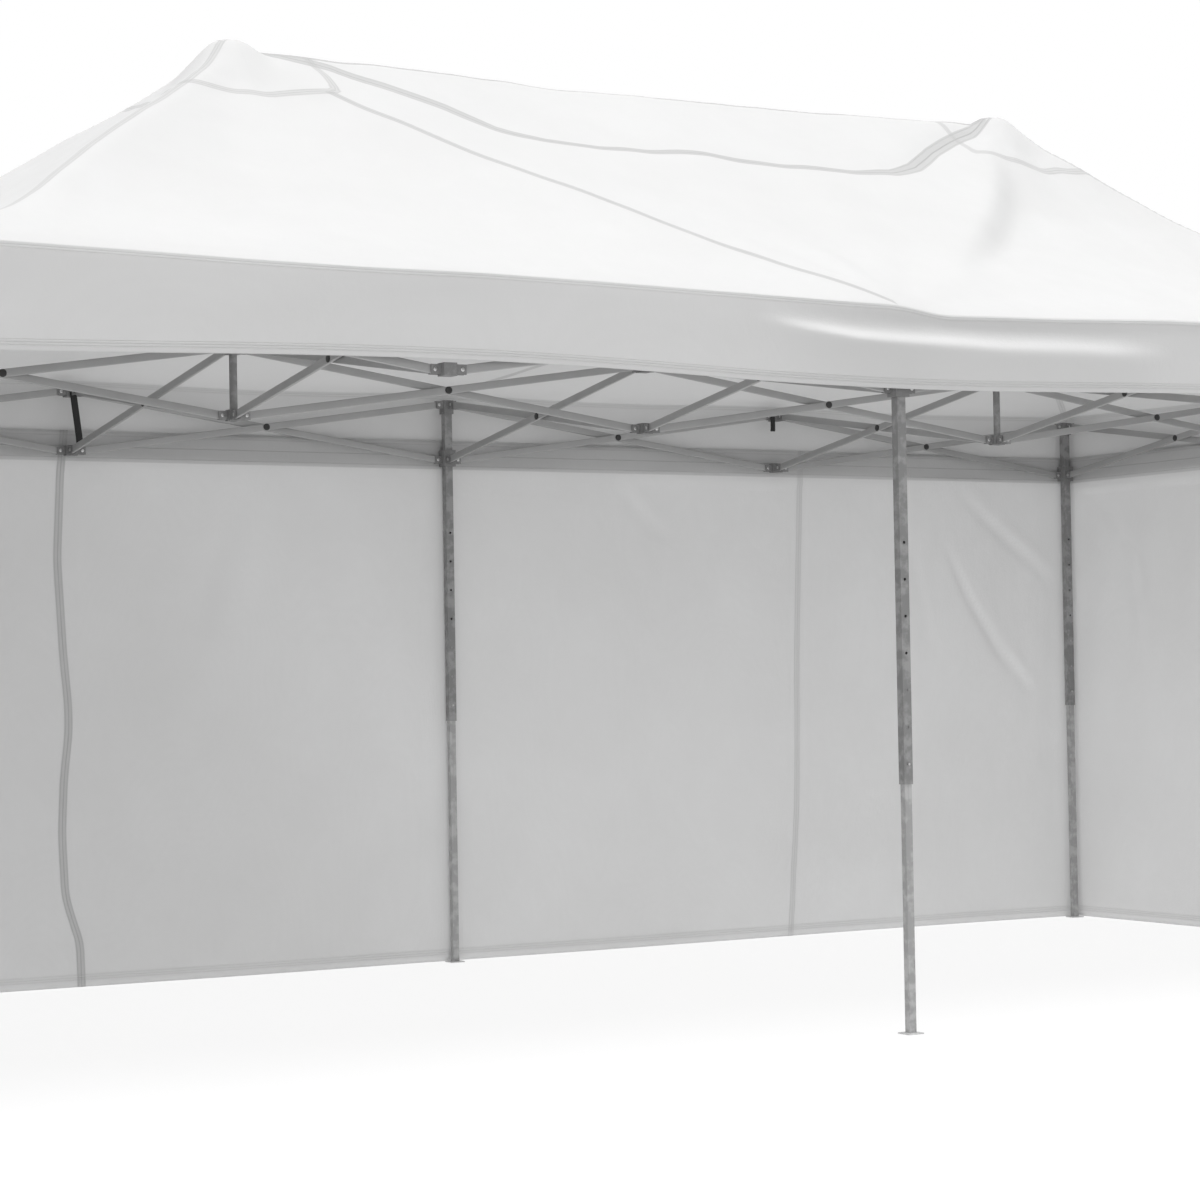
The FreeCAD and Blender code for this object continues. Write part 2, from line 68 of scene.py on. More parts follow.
# ------------------------------------------------------------------ node helpers
class Nodes:
    """A small builder for shader node trees."""

    def __init__(self, name):
        self.material = bpy.data.materials.new(name)
        self.material.use_nodes = True
        self.tree = self.material.node_tree
        self.bsdf = self.tree.nodes["Principled BSDF"]
        self.output = self.tree.nodes["Material Output"]

    def add(self, kind, inputs=None, **settings):
        node = self.tree.nodes.new(kind)
        for key, value in settings.items():
            setattr(node, key, value)
        for key, value in (inputs or {}).items():
            self.join(node.inputs[key], value)
        return node

    def join(self, socket, value):
        if isinstance(value, bpy.types.NodeSocket):
            self.tree.links.new(value, socket)
        elif isinstance(value, bpy.types.Node):
            self.tree.links.new(value.outputs[0], socket)
        else:
            socket.default_value = value

    def math(self, operation, *values):
        node = self.add("ShaderNodeMath", operation=operation)
        for n, value in enumerate(values):
            self.join(node.inputs[n], value)
        return node.outputs[0]

    def noise(self, scale, detail=4, rough=0.55, stretch=(1, 1, 1), seed=0.0):
        place = self.add("ShaderNodeTexCoord").outputs["Object"]
        start = (seed, seed * 1.7, seed * 0.3)
        moved = self.add("ShaderNodeMapping", {"Vector": place, "Location": start, "Scale": stretch})
        return self.add("ShaderNodeTexNoise", {"Vector": moved, "Scale": scale, "Detail": detail,
                                               "Roughness": rough}).outputs["Fac"]

    def ramp(self, value, low, high, from_=0.3, to=0.7):
        node = self.add("ShaderNodeMapRange", {"Value": value, "From Min": from_, "From Max": to,
                                               "To Min": low, "To Max": high}, clamp=True)
        return node.outputs[0]

    def blend(self, factor, first, second):
        node = self.add("ShaderNodeMix", data_type="RGBA")
        self.join(node.inputs["Factor"], factor)
        self.join(node.inputs[6], first)
        self.join(node.inputs[7], second)
        return node.outputs[2]

    def bump(self, height, strength, distance, under=None):
        inputs = {"Height": height, "Strength": strength, "Distance": distance}
        if under is not None:
            inputs["Normal"] = under
        return self.add("ShaderNodeBump", inputs).outputs["Normal"]

    def attribute(self, name):
        return self.add("ShaderNodeAttribute", attribute_name=name).outputs["Fac"]

    def line(self, field, centre, half):
        """1 on the line where a signed distance field is near centre, 0 beyond half."""
        away = self.math("ABSOLUTE", self.math("SUBTRACT", field, centre))
        return self.math("SUBTRACT", 1.0, self.math("MINIMUM", self.math("DIVIDE", away, half), 1.0))


def grey(value, warm=0.0):
    return (value * (1 + warm), value, value * (1 - warm), 1)


def painted_metal(name, shade, rub=0.07, plate_top=None):
    """Powder-coated steel: orange peel, faint rub marks, paler edges; bare zinc below plate_top."""
    n = Nodes(name)
    patch = n.noise(6, 5, seed=1.3)
    rubbed = n.noise(40, 6, 0.7, (1, 1, 0.06), seed=4.1)
    edge = n.add("ShaderNodeNewGeometry").outputs["Pointiness"]
    chips = n.noise(30, 4, seed=8)
    worn = n.math("MULTIPLY", n.ramp(edge, 0, 1, 0.52, 0.58), n.ramp(chips, 0, 1, 0.45, 0.6))
    tone = n.blend(n.ramp(patch, 0, 1), grey(shade * 0.95), grey(shade * 1.05))
    tone = n.blend(n.ramp(rubbed, 0, rub, 0.55, 0.8), tone, grey(shade * 1.5))
    tone = n.blend(n.math("MULTIPLY", worn, 0.4), tone, grey(min(shade * 2, 0.6)))
    if plate_top:
        place = n.add("ShaderNodeSeparateXYZ", {0: n.add("ShaderNodeTexCoord").outputs["Object"]})
        plate = n.math("LESS_THAN", place.outputs["Z"], plate_top)
        tone = n.blend(plate, tone, n.blend(n.ramp(n.noise(60, 5), 0, 1), grey(0.52), grey(0.64)))
    n.join(n.bsdf.inputs["Base Color"], tone)
    n.join(n.bsdf.inputs["Roughness"], n.ramp(rubbed, 0.42, 0.48))
    n.bsdf.inputs["Metallic"].default_value = 0.3
    n.join(n.bsdf.inputs["Normal"], n.bump(n.noise(900, 2, seed=2), 0.12, 0.0006))
    return n.material


def moulded_plastic(name, shade):
    """Glass-filled nylon: a fine grain, slight sink and scuffs."""
    n = Nodes(name)
    scuff = n.noise(70, 6, 0.7, seed=3.3)
    tone = n.blend(n.ramp(scuff, 0, 0.5, 0.5, 0.8), grey(shade), grey(shade * 2.2))
    n.join(n.bsdf.inputs["Base Color"], tone)
    n.join(n.bsdf.inputs["Roughness"], n.ramp(scuff, 0.47, 0.70))
    grain = n.bump(n.noise(1500, 2, seed=6), 0.25, 0.0004)
    n.join(n.bsdf.inputs["Normal"], n.bump(n.noise(25, 2, seed=1), 0.15, 0.001, grain))
    return n.material


def plated_steel(name):
    """Bright zinc plate with a light brushed haze."""
    n = Nodes(name)
    haze = n.noise(120, 5, 0.6, (1, 1, 0.2), seed=5)
    n.join(n.bsdf.inputs["Base Color"], n.blend(n.ramp(haze, 0, 1), grey(0.50), grey(0.66)))
    n.join(n.bsdf.inputs["Roughness"], n.ramp(haze, 0.22, 0.40))
    n.bsdf.inputs["Metallic"].default_value = 1.0
    n.join(n.bsdf.inputs["Normal"], n.bump(haze, 0.1, 0.0004))
    return n.material


def woven(name, shade, glow, seams=(), creases=0.3):
    """Coated polyester: plain weave, soft clouding, fine crush marks, taped and stitched seams, and lines
    of painted shade.

    glow is the translucent shader's share of the mix. seams lists (attribute, half width of its tape, how
    dark); each attribute is a signed distance in metres. Each tape's middle line is painted shade in its
    folded edge, and some of the listed lines are painted shade of a fold, a crease or the overhanging eave
    and valance.
    """
    n = Nodes(name)
    place = n.add("ShaderNodeTexCoord").outputs["Object"]
    threads = []
    for turn in ((0, 0, 0), (0, 0, math.pi / 2), (0, math.pi / 2, 0)):
        turned = n.add("ShaderNodeMapping", {"Vector": place, "Rotation": turn})
        threads.append(n.add("ShaderNodeTexWave", {"Vector": turned, "Scale": 260.0, "Distortion": 0.4,
                                                   "Detail": 1.0}).outputs["Fac"])
    weave = n.math("ADD", n.math("ADD", threads[0], threads[1]), threads[2])
    cloud = n.noise(0.9, 4, 0.6, seed=2.7)
    crush = n.noise(5, 7, 0.62, (1, 1, 0.7), seed=7.9)
    tone = n.blend(n.ramp(cloud, 0, 1), grey(shade * 0.965, 0.001), grey(shade * 1.02, -0.001))
    tone = n.blend(n.ramp(crush, 0, 0.35, 0.35, 0.75), tone, grey(shade * 0.96))
    tone = n.blend(n.ramp(weave, 0, 0.12, 0.6, 2.2), tone, grey(shade * 0.9))
    relief = None
    for field_name, half, dark in seams:
        field = n.attribute(field_name)
        tape = n.math("GREATER_THAN", n.line(field, 0.0, half), 0.02)
        stitch = n.math("MAXIMUM", n.line(field, -half * 0.72, 0.0016), n.line(field, half * 0.72, 0.0016))
        # The middle line of each tape is darkened as painted shade in the seam's folded edge, over the
        # groove that the bump gives it.
        fold = n.line(field, 0.0, 0.0022)
        tone = n.blend(n.math("MULTIPLY", tape, dark), tone, grey(shade * 0.70))
        tone = n.blend(n.math("MULTIPLY", stitch, min(0.45, dark)), tone, grey(shade * 0.58))
        tone = n.blend(n.math("MULTIPLY", fold, dark), tone, grey(shade * 0.50))
        height = n.math("SUBTRACT", n.math("MULTIPLY", tape, 0.6), n.math("ADD", stitch, fold))
        relief = height if relief is None else n.math("ADD", relief, height)
    normal = n.bump(weave, 0.22, 0.0004)
    normal = n.bump(crush, creases, 0.012, normal)
    if relief is not None:
        normal = n.bump(relief, 0.6, 0.0015, normal)
    n.join(n.bsdf.inputs["Base Color"], tone)
    n.join(n.bsdf.inputs["Roughness"], n.ramp(crush, 0.62, 0.80))
    n.bsdf.inputs["Sheen Weight"].default_value = 0.12
    n.bsdf.inputs["Sheen Roughness"].default_value = 0.5
    n.bsdf.inputs["Specular IOR Level"].default_value = 0.3
    n.join(n.bsdf.inputs["Normal"], normal)
    through = n.add("ShaderNodeBsdfTranslucent", {"Color": tone, "Normal": normal})
    mixed = n.add("ShaderNodeMixShader", {0: glow, 1: n.bsdf.outputs[0], 2: through.outputs[0]})
    n.join(n.output.inputs["Surface"], mixed.outputs[0])
    return n.material


TUBE = painted_metal("grey_tube", 0.205)
INNER = painted_metal("inner_tube", 0.32, 0.12, plate_top=0.0045)
BAR = painted_metal("truss_bar", 0.33)
BLACK = moulded_plastic("black_nylon", 0.022)
DARK = moulded_plastic("dark_nylon", 0.17)
PLATED = plated_steel("zinc_plate")
ROOF = woven("roof_fabric", 0.60, 0.16,
             [("seam_hip", 0.014, 0.40), ("seam_mid_fold_shade", 0.015, 0.75), ("painted_crease_shade", 0.012, 0.6),
              ("seam_patch", 0.014, 0.45), ("seam_ridge", 0.026, 0.88), ("seam_eave_and_shade", 0.010, 0.15),
              ("seam_hem", 0.010, 0.15)])
# The walls are the same fabric as the roof, given a paler tone as painted light that makes up for the light
# their inner side misses.
WALL = woven("wall_fabric", 0.825, 0.50,
             [("seam_zip", 0.016, 0.55), ("seam_faint", 0.014, 0.22), ("seam_hem", 0.012, 0.12),
              ("head_hem_and_valance_shade", 0.055, 0.50)], 0.4)
WEBBING = woven("black_webbing", 0.02, 0.0, creases=0.1)


# ------------------------------------------------------------------ CAD pieces keep their shape
def finish_for(node):
    if node.startswith("outer_leg"):
        return TUBE
    if node.startswith("inner_leg"):
        return INNER
    if node.startswith("snap"):
        return PLATED
    if node.startswith("release"):
        return BLACK
    if node.startswith("king_post"):
        return TUBE
    return DARK


for name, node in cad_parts.items():
    if node.type == "MESH" and not name.startswith(("canopy", "wall", "truss")):
        node.data.materials.clear()
        node.data.materials.append(finish_for(name))


# ------------------------------------------------------------------ mesh helpers
def put_in_scene(name, data):
    obj = bpy.data.objects.new(name, data)
    bpy.context.collection.objects.link(obj)
    return obj


def object_from(bm, name, materials):
    """Ends a bmesh: turns its faces outwards and makes it an object."""
    bmesh.ops.recalc_face_normals(bm, faces=bm.faces)
    mesh = bpy.data.meshes.new(name)
    bm.to_mesh(mesh)
    bm.free()
    for material in materials:
        mesh.materials.append(material)
    return put_in_scene(name, mesh)


def make_object(name, points, faces, material, fields=None, smooth=True):
    mesh = bpy.data.meshes.new(name)
    mesh.from_pydata([tuple(p) for p in points], [], [tuple(f) for f in faces])
    mesh.update()
    for key, values in (fields or {}).items():
        layer = mesh.attributes.new(key, "FLOAT", "POINT")
        layer.data.foreach_set("value", np.asarray(values, np.float32))
    if smooth:
        mesh.polygons.foreach_set("use_smooth", [True] * len(mesh.polygons))
    mesh.materials.append(material)
    return put_in_scene(name, mesh)


class Waves:
    """Smooth repeatable noise from a sum of plane waves."""

    def __init__(self, seed, count, low, high, lean=(1.0, 1.0)):
        rng = np.random.default_rng(seed)
        size = rng.uniform(low, high, count)
        angle = rng.uniform(0, math.pi, count)
        self.kx = 2 * math.pi / size * np.cos(angle) * lean[0]
        self.ky = 2 * math.pi / size * np.sin(angle) * lean[1]
        self.phase = rng.uniform(0, 2 * math.pi, count)
        self.share = 1 / math.sqrt(count)

    def __call__(self, x, y):
        x, y = np.asarray(x, float), np.asarray(y, float)
        total = np.zeros(np.broadcast(x, y).shape)
        for kx, ky, phase in zip(self.kx, self.ky, self.phase):
            total += np.sin(kx * x + ky * y + phase)
        return total * self.share


def along_line(x, y, line):
    """Signed distance to a polyline, and how far along it the nearest point is (0 to 1)."""
    line = np.asarray(line, float)
    lengths = np.linalg.norm(np.diff(line, axis=0), axis=1)
    starts = np.concatenate([[0], np.cumsum(lengths)])
    best = np.full(np.shape(x), 1e9)
    signed = np.zeros(np.shape(x))
    where = np.zeros(np.shape(x))
    for n in range(len(line) - 1):
        d = line[n + 1] - line[n]
        t = np.clip(((x - line[n, 0]) * d[0] + (y - line[n, 1]) * d[1]) / (d @ d), 0, 1)
        gap_x, gap_y = x - line[n, 0] - t * d[0], y - line[n, 1] - t * d[1]
        gap = np.hypot(gap_x, gap_y)
        side = np.sign(d[0] * gap_y - d[1] * gap_x)
        nearer = gap < best
        best = np.where(nearer, gap, best)
        signed = np.where(nearer, gap * np.where(side == 0, 1, side), signed)
        where = np.where(nearer, (starts[n] + t * lengths[n]) / starts[-1], where)
    return signed, where


def bell(distance, width):
    return np.exp(-(distance / width) ** 2)


def smooth_step(share):
    return share * share * (3 - 2 * share)


# ------------------------------------------------------------------ the roof's shape
# How far the ridge hangs below the straight line between the peaks: places along X, then sags.
RIDGE_SAG = ([-1.5, -1.35, -1.14, -0.7, -0.33, -0.05, 0.5, 0.9, 1.4, 1.5],
             [0.0, 0.004, 0.012, 0.017, 0.034, 0.022, 0.012, 0.014, 0.004, 0.0])
SOFT_WAVES = Waves(11, 9, 0.7, 1.7)
FINE_WAVES = Waves(12, 12, 0.16, 0.5)
VALANCE_WAVES = Waves(21, 8, 0.45, 1.4)
# The curved seam across the front slope, from peak to peak; the back slope has its mirror image. Its tape
# is darkened further as painted shadow of the soft fold along it.
MID_SEAM = [(-1.5, 0.0), (-1.35, -0.02), (-1.18, -0.07), (-1.03, -0.16), (-0.87, -0.26), (-0.75, -0.37),
            (-0.60, -0.43), (-0.41, -0.45), (0.0, -0.435), (0.29, -0.46), (0.56, -0.465), (0.74, -0.445),
            (0.88, -0.38), (1.05, -0.25), (1.28, -0.11), (1.5, 0.0)]
# The front eave above or below its level line: places along X, then heights.
FRONT_EAVE = ([-3.045, -2.78, -2.43, -2.10, -1.76, -1.40, -1.03, -0.63, -0.20,
               -0.02, 0.14, 0.34, 0.57, 0.81, 1.00, 1.40, 2.20, 3.045],
              [0.0, 0.018, 0.014, 0.009, 0.007, 0.010, 0.006, -0.001, -0.009,
               -0.010, -0.034, -0.027, -0.022, -0.013, -0.006, -0.002, -0.009, 0.0])
# How far the left and the right hips hang: shares of the height from eave to peak, then sags.
HIP_SAG = (([0.0, 0.15, 0.29, 0.38, 0.485, 0.59, 0.70, 0.82, 0.95, 1.0],
            [0.0, 0.058, 0.083, 0.078, 0.056, 0.043, 0.032, 0.028, 0.008, 0.0]),
           ([0.0, 0.20, 0.40, 0.55, 0.66, 0.72, 0.777, 0.835, 0.893, 0.951, 1.0],
            [0.0, 0.062, 0.100, 0.112, 0.105, 0.088, 0.066, 0.036, 0.014, 0.0, 0.0]))
CREASE_BOW = (0.02, 0.21)           # how far each tension line bows outwards, left and right


def eased(value, places, heights, width=0.10):
    """A table read with its corners rounded off over about the given share of its length."""
    span = places[-1] - places[0]
    spots = np.linspace(places[0], places[-1], 401)
    kernel = np.hanning(int(400 * width) // 2 * 2 + 3)
    padded = np.pad(np.interp(spots, places, heights), len(kernel) // 2, mode="reflect", reflect_type="odd")
    return np.interp(value, spots, np.convolve(padded, kernel / kernel.sum(), "valid"))


def eave_height(x, front):
    """The eave hangs a little slack between the uprights; the front one is pulled about by its fold."""
    slack = 0.010 * np.sin(np.pi * x / 1.5) ** 2
    return EAVE + np.where(front, eased(x, *FRONT_EAVE, 0.02), -slack)


def crease_x(x, t):
    """Where the tension line from each peak to the middle uprights runs, at height share t."""
    return PEAK_X * t + np.where(x < 0, *CREASE_BOW) * (4 * t * (1 - t)) ** 0.7


def hip_sag(x, share):
    return np.where(x < 0, eased(share, *HIP_SAG[0]), eased(share, *HIP_SAG[1]))


def roof_form(x, y):
    """The four slopes, each hanging between its hips, its eave and the tension lines."""
    ax, ay = np.abs(x), np.abs(y)
    t = np.clip((HALF_Y - ay) / HALF_Y, 0, 1)
    q = np.clip((HALF_X - ax) / (HALF_X - PEAK_X), 0, 1)
    eave = eave_height(x, y < 0)
    end_eave = EAVE - 0.010 * np.sin(np.pi * y / 1.5) ** 2
    slope = t <= q
    low = np.where(slope, eave, end_eave)
    height = low + (RIDGE - low) * np.where(slope, t, q)

    crease = 0.030 * np.sin(np.pi * t)
    half = PEAK_X + (HALF_X - PEAK_X) * (1 - t)
    s = np.clip(ax / half, 0, 1)
    s_crease = crease_x(x, t) / half
    outer = np.clip((s - s_crease) / np.maximum(1 - s_crease, 1e-6), 0, 1)
    side_sag = ((1 - outer) * crease + outer * hip_sag(x, t)
                + 0.055 * 4 * outer * (1 - outer) * 4 * t * (1 - t))
    b = np.clip(ax / np.maximum(crease_x(x, t), 1e-6), 0, 1)
    ridge = np.interp(np.clip(np.sign(x) * b, -1, 1) * PEAK_X, *RIDGE_SAG)
    middle_sag = b ** 2 * crease + (1 - b ** 2) * 0.035 * np.sin(np.pi * t) + ridge * t ** 2
    sag_slope = np.where(s < s_crease, middle_sag, side_sag)
    w = np.clip(ay / np.maximum(HALF_Y * (1 - q), 1e-6), 0, 1)
    sag_end = w ** 1.6 * hip_sag(x, q) + (1 - w ** 1.6) * 0.075 * np.sin(np.pi * (1 - q) ** 0.8)
    return height - np.where(slope, sag_slope, sag_end)


def roof_height(x, y):
    """The hanging form with its wrinkles, the pull of peaks, corners and front middle leg, and seams."""
    height = roof_form(x, y)
    inside = np.clip(np.minimum(HALF_X - np.abs(x), HALF_Y - np.abs(y)) / 0.18, 0, 1)
    height += inside * (0.008 * SOFT_WAVES(x, y) + 0.0022 * FINE_WAVES(x, y))
    for peak, strength in ((-PEAK_X, 0.5), (PEAK_X, 1.0)):
        dx, dy = x - peak, y
        r = np.hypot(dx, dy)
        turn = np.arctan2(dy, dx)
        pleats = np.sin(11 * turn + 1.3) + 0.6 * np.sin(17 * turn + 0.4 + peak)
        reach = np.exp(-r / 0.35) * np.clip(r / 0.08, 0, 1) * (1 - bell(r, 0.05))
        height += strength * 0.012 * pleats * reach
    for cx in (-HALF_X, HALF_X):
        for cy in (-HALF_Y, HALF_Y):
            r = np.hypot(x - cx, y - cy)
            turn = np.arctan2(np.abs(y - cy), np.abs(x - cx))
            height += inside * 0.006 * np.sin(14 * turn + cx) * np.exp(-r / 0.7)
    r = np.hypot(x, y + HALF_Y)
    turn = np.arctan2(y + HALF_Y, x)
    height += inside * 0.007 * np.sin(12 * turn) * np.exp(-r / 0.6)

    d, s = along_line(x, y, MID_SEAM)
    depth = 0.007 + 0.013 * np.clip((x - 0.75) / 0.3, 0, 1)
    height -= depth * bell(d, 0.035) * np.clip(np.minimum(s, 1 - s) / 0.05, 0, 1)

    # The step in the front slope below the right peak, just past its tension line.
    t = np.clip((HALF_Y + y) / HALF_Y, 0, 1)
    past = (x - crease_x(x, t)) * 0.72
    drop = np.clip((past + 0.040) / 0.044, 0, 1)
    drop = smooth_step(drop) * np.exp(-np.clip(past, 0, None) / 0.32)
    span = np.clip((t - 0.20) / 0.25, 0, 1) * np.clip((0.86 - t) / 0.2, 0, 1)
    height -= 0.068 * drop * span * (x > 0) * (y < 0)
    return height


def smooth_grid(z, keep, rounds):
    for _ in range(rounds):
        padded = np.pad(z, 1, mode="edge")
        mean = (padded[2:, 1:-1] + padded[:-2, 1:-1] + padded[1:-1, 2:] + padded[1:-1, :-2]) / 4
        z = np.where(keep, z, 0.5 * z + 0.5 * mean)
    return z


# ------------------------------------------------------------------ canopy: one sheet, roof and valance
def valance_fold(x, z):
    """The slack front valance folds over itself in a long shallow line right of the middle leg."""
    line = np.interp(x, [-0.62, -0.48, -0.386, -0.20, -0.03, 0.14, 0.34, 0.57, 0.81, 1.20],
                     [2.125, 2.106, 2.091, 2.070, 2.065, 2.062, 2.058, 2.062, 2.062, 2.062])
    reach = np.clip((x + 0.56) / 0.38, 0, 1) * np.clip((1.08 - x) / 0.38, 0, 1)
    below = line - z
    width = np.interp(x, [-0.4, 0.0, 0.4, 0.9], [0.007, 0.009, 0.013, 0.017])
    ledge = 1 / (1 + np.exp(-below / width)) * np.exp(-np.clip(below, 0, None) / 0.10)
    return smooth_step(reach) * (0.050 * ledge - 0.005 * bell(below + 0.045, 0.03))


def build_canopy():
    """Points, faces, seam fields and painted shade fields of the whole sheet: a grid for the roof, rows
    down the valance.
    """
    nx, ny = 288, 148
    rim_x, rim_y = HALF_X - RIM_INSET, HALF_Y - RIM_INSET
    xs = np.linspace(-rim_x, rim_x, nx + 1)
    ys = np.linspace(-rim_y, rim_y, ny + 1)
    gx, gy = np.meshgrid(xs, ys, indexing="ij")
    z = roof_height(gx, gy)
    rim = np.zeros_like(z, bool)
    rim[[0, -1], :] = True
    rim[:, [0, -1]] = True
    z = smooth_grid(z, rim, 3)
    for peak in (-PEAK_X, PEAK_X):
        r = np.hypot(gx - peak, gy)
        cone = PEAK_CAP - 0.66 * np.clip(r - 0.045, 0, None)
        z += np.clip(cone - z, 0, None) * np.clip((0.20 - r) / 0.13, 0, 1)
    z = smooth_grid(z, rim, 1)
    over_leg = (np.abs(gx) < 0.055) & (np.abs(gy) > 1.44)
    z = np.where(over_leg, np.maximum(z, LEG_COVER), z)
    points = [np.stack([gx, gy, z], -1).reshape(-1, 3)]

    def index(i, j):
        return i * (ny + 1) + j

    faces = [(index(i, j), index(i + 1, j), index(i + 1, j + 1), index(i, j + 1))
             for i in range(nx) for j in range(ny)]
    loop = ([index(i, 0) for i in range(nx)] + [index(nx, j) for j in range(ny)]
            + [index(i, ny) for i in range(nx, 0, -1)] + [index(0, j) for j in range(ny, 0, -1)])
    rim_points = points[0][loop]
    x, y, top = rim_points.T
    end = np.abs(np.abs(x) - rim_x) < 1e-6
    side = np.abs(np.abs(y) - rim_y) < 1e-6
    out = np.stack([np.where(end, np.sign(x), 0), np.where(side, np.sign(y), 0)], -1)
    front = side & (y < 0)
    around = np.arctan2(y, x)
    corner_z = VALANCE_END - 0.012 * y / HALF_Y
    bottom = corner_z + np.where(side, np.where(y < 0, 0.030, 0.006) * np.sin(np.pi * x / BAY) ** 2,
                                 0.012 * np.cos(np.pi * y / BAY) ** 2)
    drops = [0.004, 0.010, 0.020] + list(np.linspace(0.032, 1.0, 26))
    previous = loop
    rows = []
    for n, drop in enumerate(drops):
        # The first three rows round the eave off; the rest share out the height that is left.
        level = top - drop if n < 3 else top - 0.026 - (top - 0.02 - bottom) * (drop - 0.032) / 0.968
        level = np.maximum(level, bottom)
        share = np.clip((top - level) / (top - bottom), 0, 1)
        wave = VALANCE_WAVES(x + y * 0.3, level * 0.35 + around) * 0.0042 + 0.0015
        push = RIM_INSET * min(1.0, (n + 1) / 3) + share * np.maximum(wave, -0.006)
        lip = np.clip((x + 0.2) / 0.5, 0, 1) * np.clip((1.75 - x) / 0.5, 0, 1)
        lip *= bell(top - level - 0.012, 0.016)
        fold = np.where(front, valance_fold(x, level) + 0.007 * lip, 0)
        rows.append(np.stack([x + out[:, 0] * push, y + out[:, 1] * (push + fold), level], -1))
    hem = rows[-1].copy()
    hem[:, :2] -= out * 0.0022
    hem[:, 2] += 0.001
    tuck = hem.copy()
    tuck[:, 2] += 0.024
    rows += [hem, tuck]
    count = len(loop)
    base = len(points[0])
    for n, row in enumerate(rows):
        points.append(row)
        current = list(range(base + n * count, base + (n + 1) * count))
        for k in range(count):
            a, b = previous[k], previous[(k + 1) % count]
            c, d = current[(k + 1) % count], current[k]
            faces.append((a, d, c, b))
        previous = current
    points = np.concatenate(points)
    px, py, pz = points.T
    roof_part = np.arange(len(points)) < base
    ax, ay = np.abs(px), np.abs(py)
    hip = (HALF_X - ax) / (HALF_X - PEAK_X) - (HALF_Y - ay) / HALF_Y
    mid = along_line(px, -ay, MID_SEAM)[0]
    # The curved seam's dark tape widens towards the peaks as painted shadow of the broad fold there.
    mid = mid / (1 + 0.9 * np.clip((ax - 0.6) / 0.25, 0, 1))
    crease = ax - crease_x(px, np.clip((HALF_Y - ay) / HALF_Y, 0, 1))
    r = np.maximum(np.abs(ax - PEAK_X), ay * 1.05)
    above_hem = pz - np.concatenate([pz[:base]] + [bottom] * len(rows))
    below_eave = pz - np.concatenate([pz[:base]] + [top] * len(rows))
    # The tension crease from the left peak to the front middle leg, and its mirror at the back right, is
    # drawn as a dark taped line: painted shade of the crease.
    crease_shade_zone = roof_part & (r > PATCH_HALF) & (px * py > 0)
    fields = {
        "seam_hip": np.where(roof_part, hip * 1.05, NO_SEAM),
        "seam_mid_fold_shade": np.where(roof_part, mid, NO_SEAM),
        "painted_crease_shade": np.where(crease_shade_zone, crease * 0.75, NO_SEAM),
        "seam_patch": np.where(roof_part, r - PATCH_HALF, NO_SEAM),
        "seam_ridge": np.where(roof_part & (ax < PEAK_X), py, NO_SEAM),
        # The line 1 cm below the eave is the roof-to-valance seam, darkened as painted shade under the
        # eave's edge.
        "seam_eave_and_shade": np.where(roof_part, np.minimum(HALF_X - ax, HALF_Y - ay), below_eave) + 0.010,
        "seam_hem": np.where(roof_part, NO_SEAM, above_hem - HEM_DEPTH),
    }
    return points, faces, fields


def whole_normals(points, faces):
    """Vertex normals of the uncut sheet, so that the parted strips shade as one."""
    normals = np.zeros_like(points)
    quads = np.asarray(faces)
    corner = points[quads]
    across = np.cross(corner[:, 2] - corner[:, 0], corner[:, 3] - corner[:, 1])
    for k in range(4):
        np.add.at(normals, quads[:, k], across)
    return normals / np.maximum(np.linalg.norm(normals, axis=1, keepdims=True), 1e-12)


def build_strips():
    """Parts the sheet lengthwise, so that each strip can ride its own body."""
    points, faces, fields = build_canopy()
    normals = whole_normals(points, faces)
    quads = np.asarray(faces)
    middle = points[quads][:, :, 1].mean(1)
    bands = {"canopy_front": (-9, -CUT_Y), "canopy_ridge_front": (-CUT_Y, 0),
             "canopy_ridge_back": (0, CUT_Y), "canopy_back": (CUT_Y, 9)}
    for node, (low, high) in bands.items():
        chosen = quads[(middle >= low) & (middle < high)]
        used, remade = np.unique(chosen, return_inverse=True)
        remade = remade.reshape(chosen.shape)
        strip = make_object(node + "_cloth", points[used], remade, ROOF,
                            {key: values[used] for key, values in fields.items()})
        strip.data.normals_split_custom_set_from_vertices([tuple(v) for v in normals[used]])
        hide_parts(node)
        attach(strip, node + "_strip")
        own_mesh(strip)


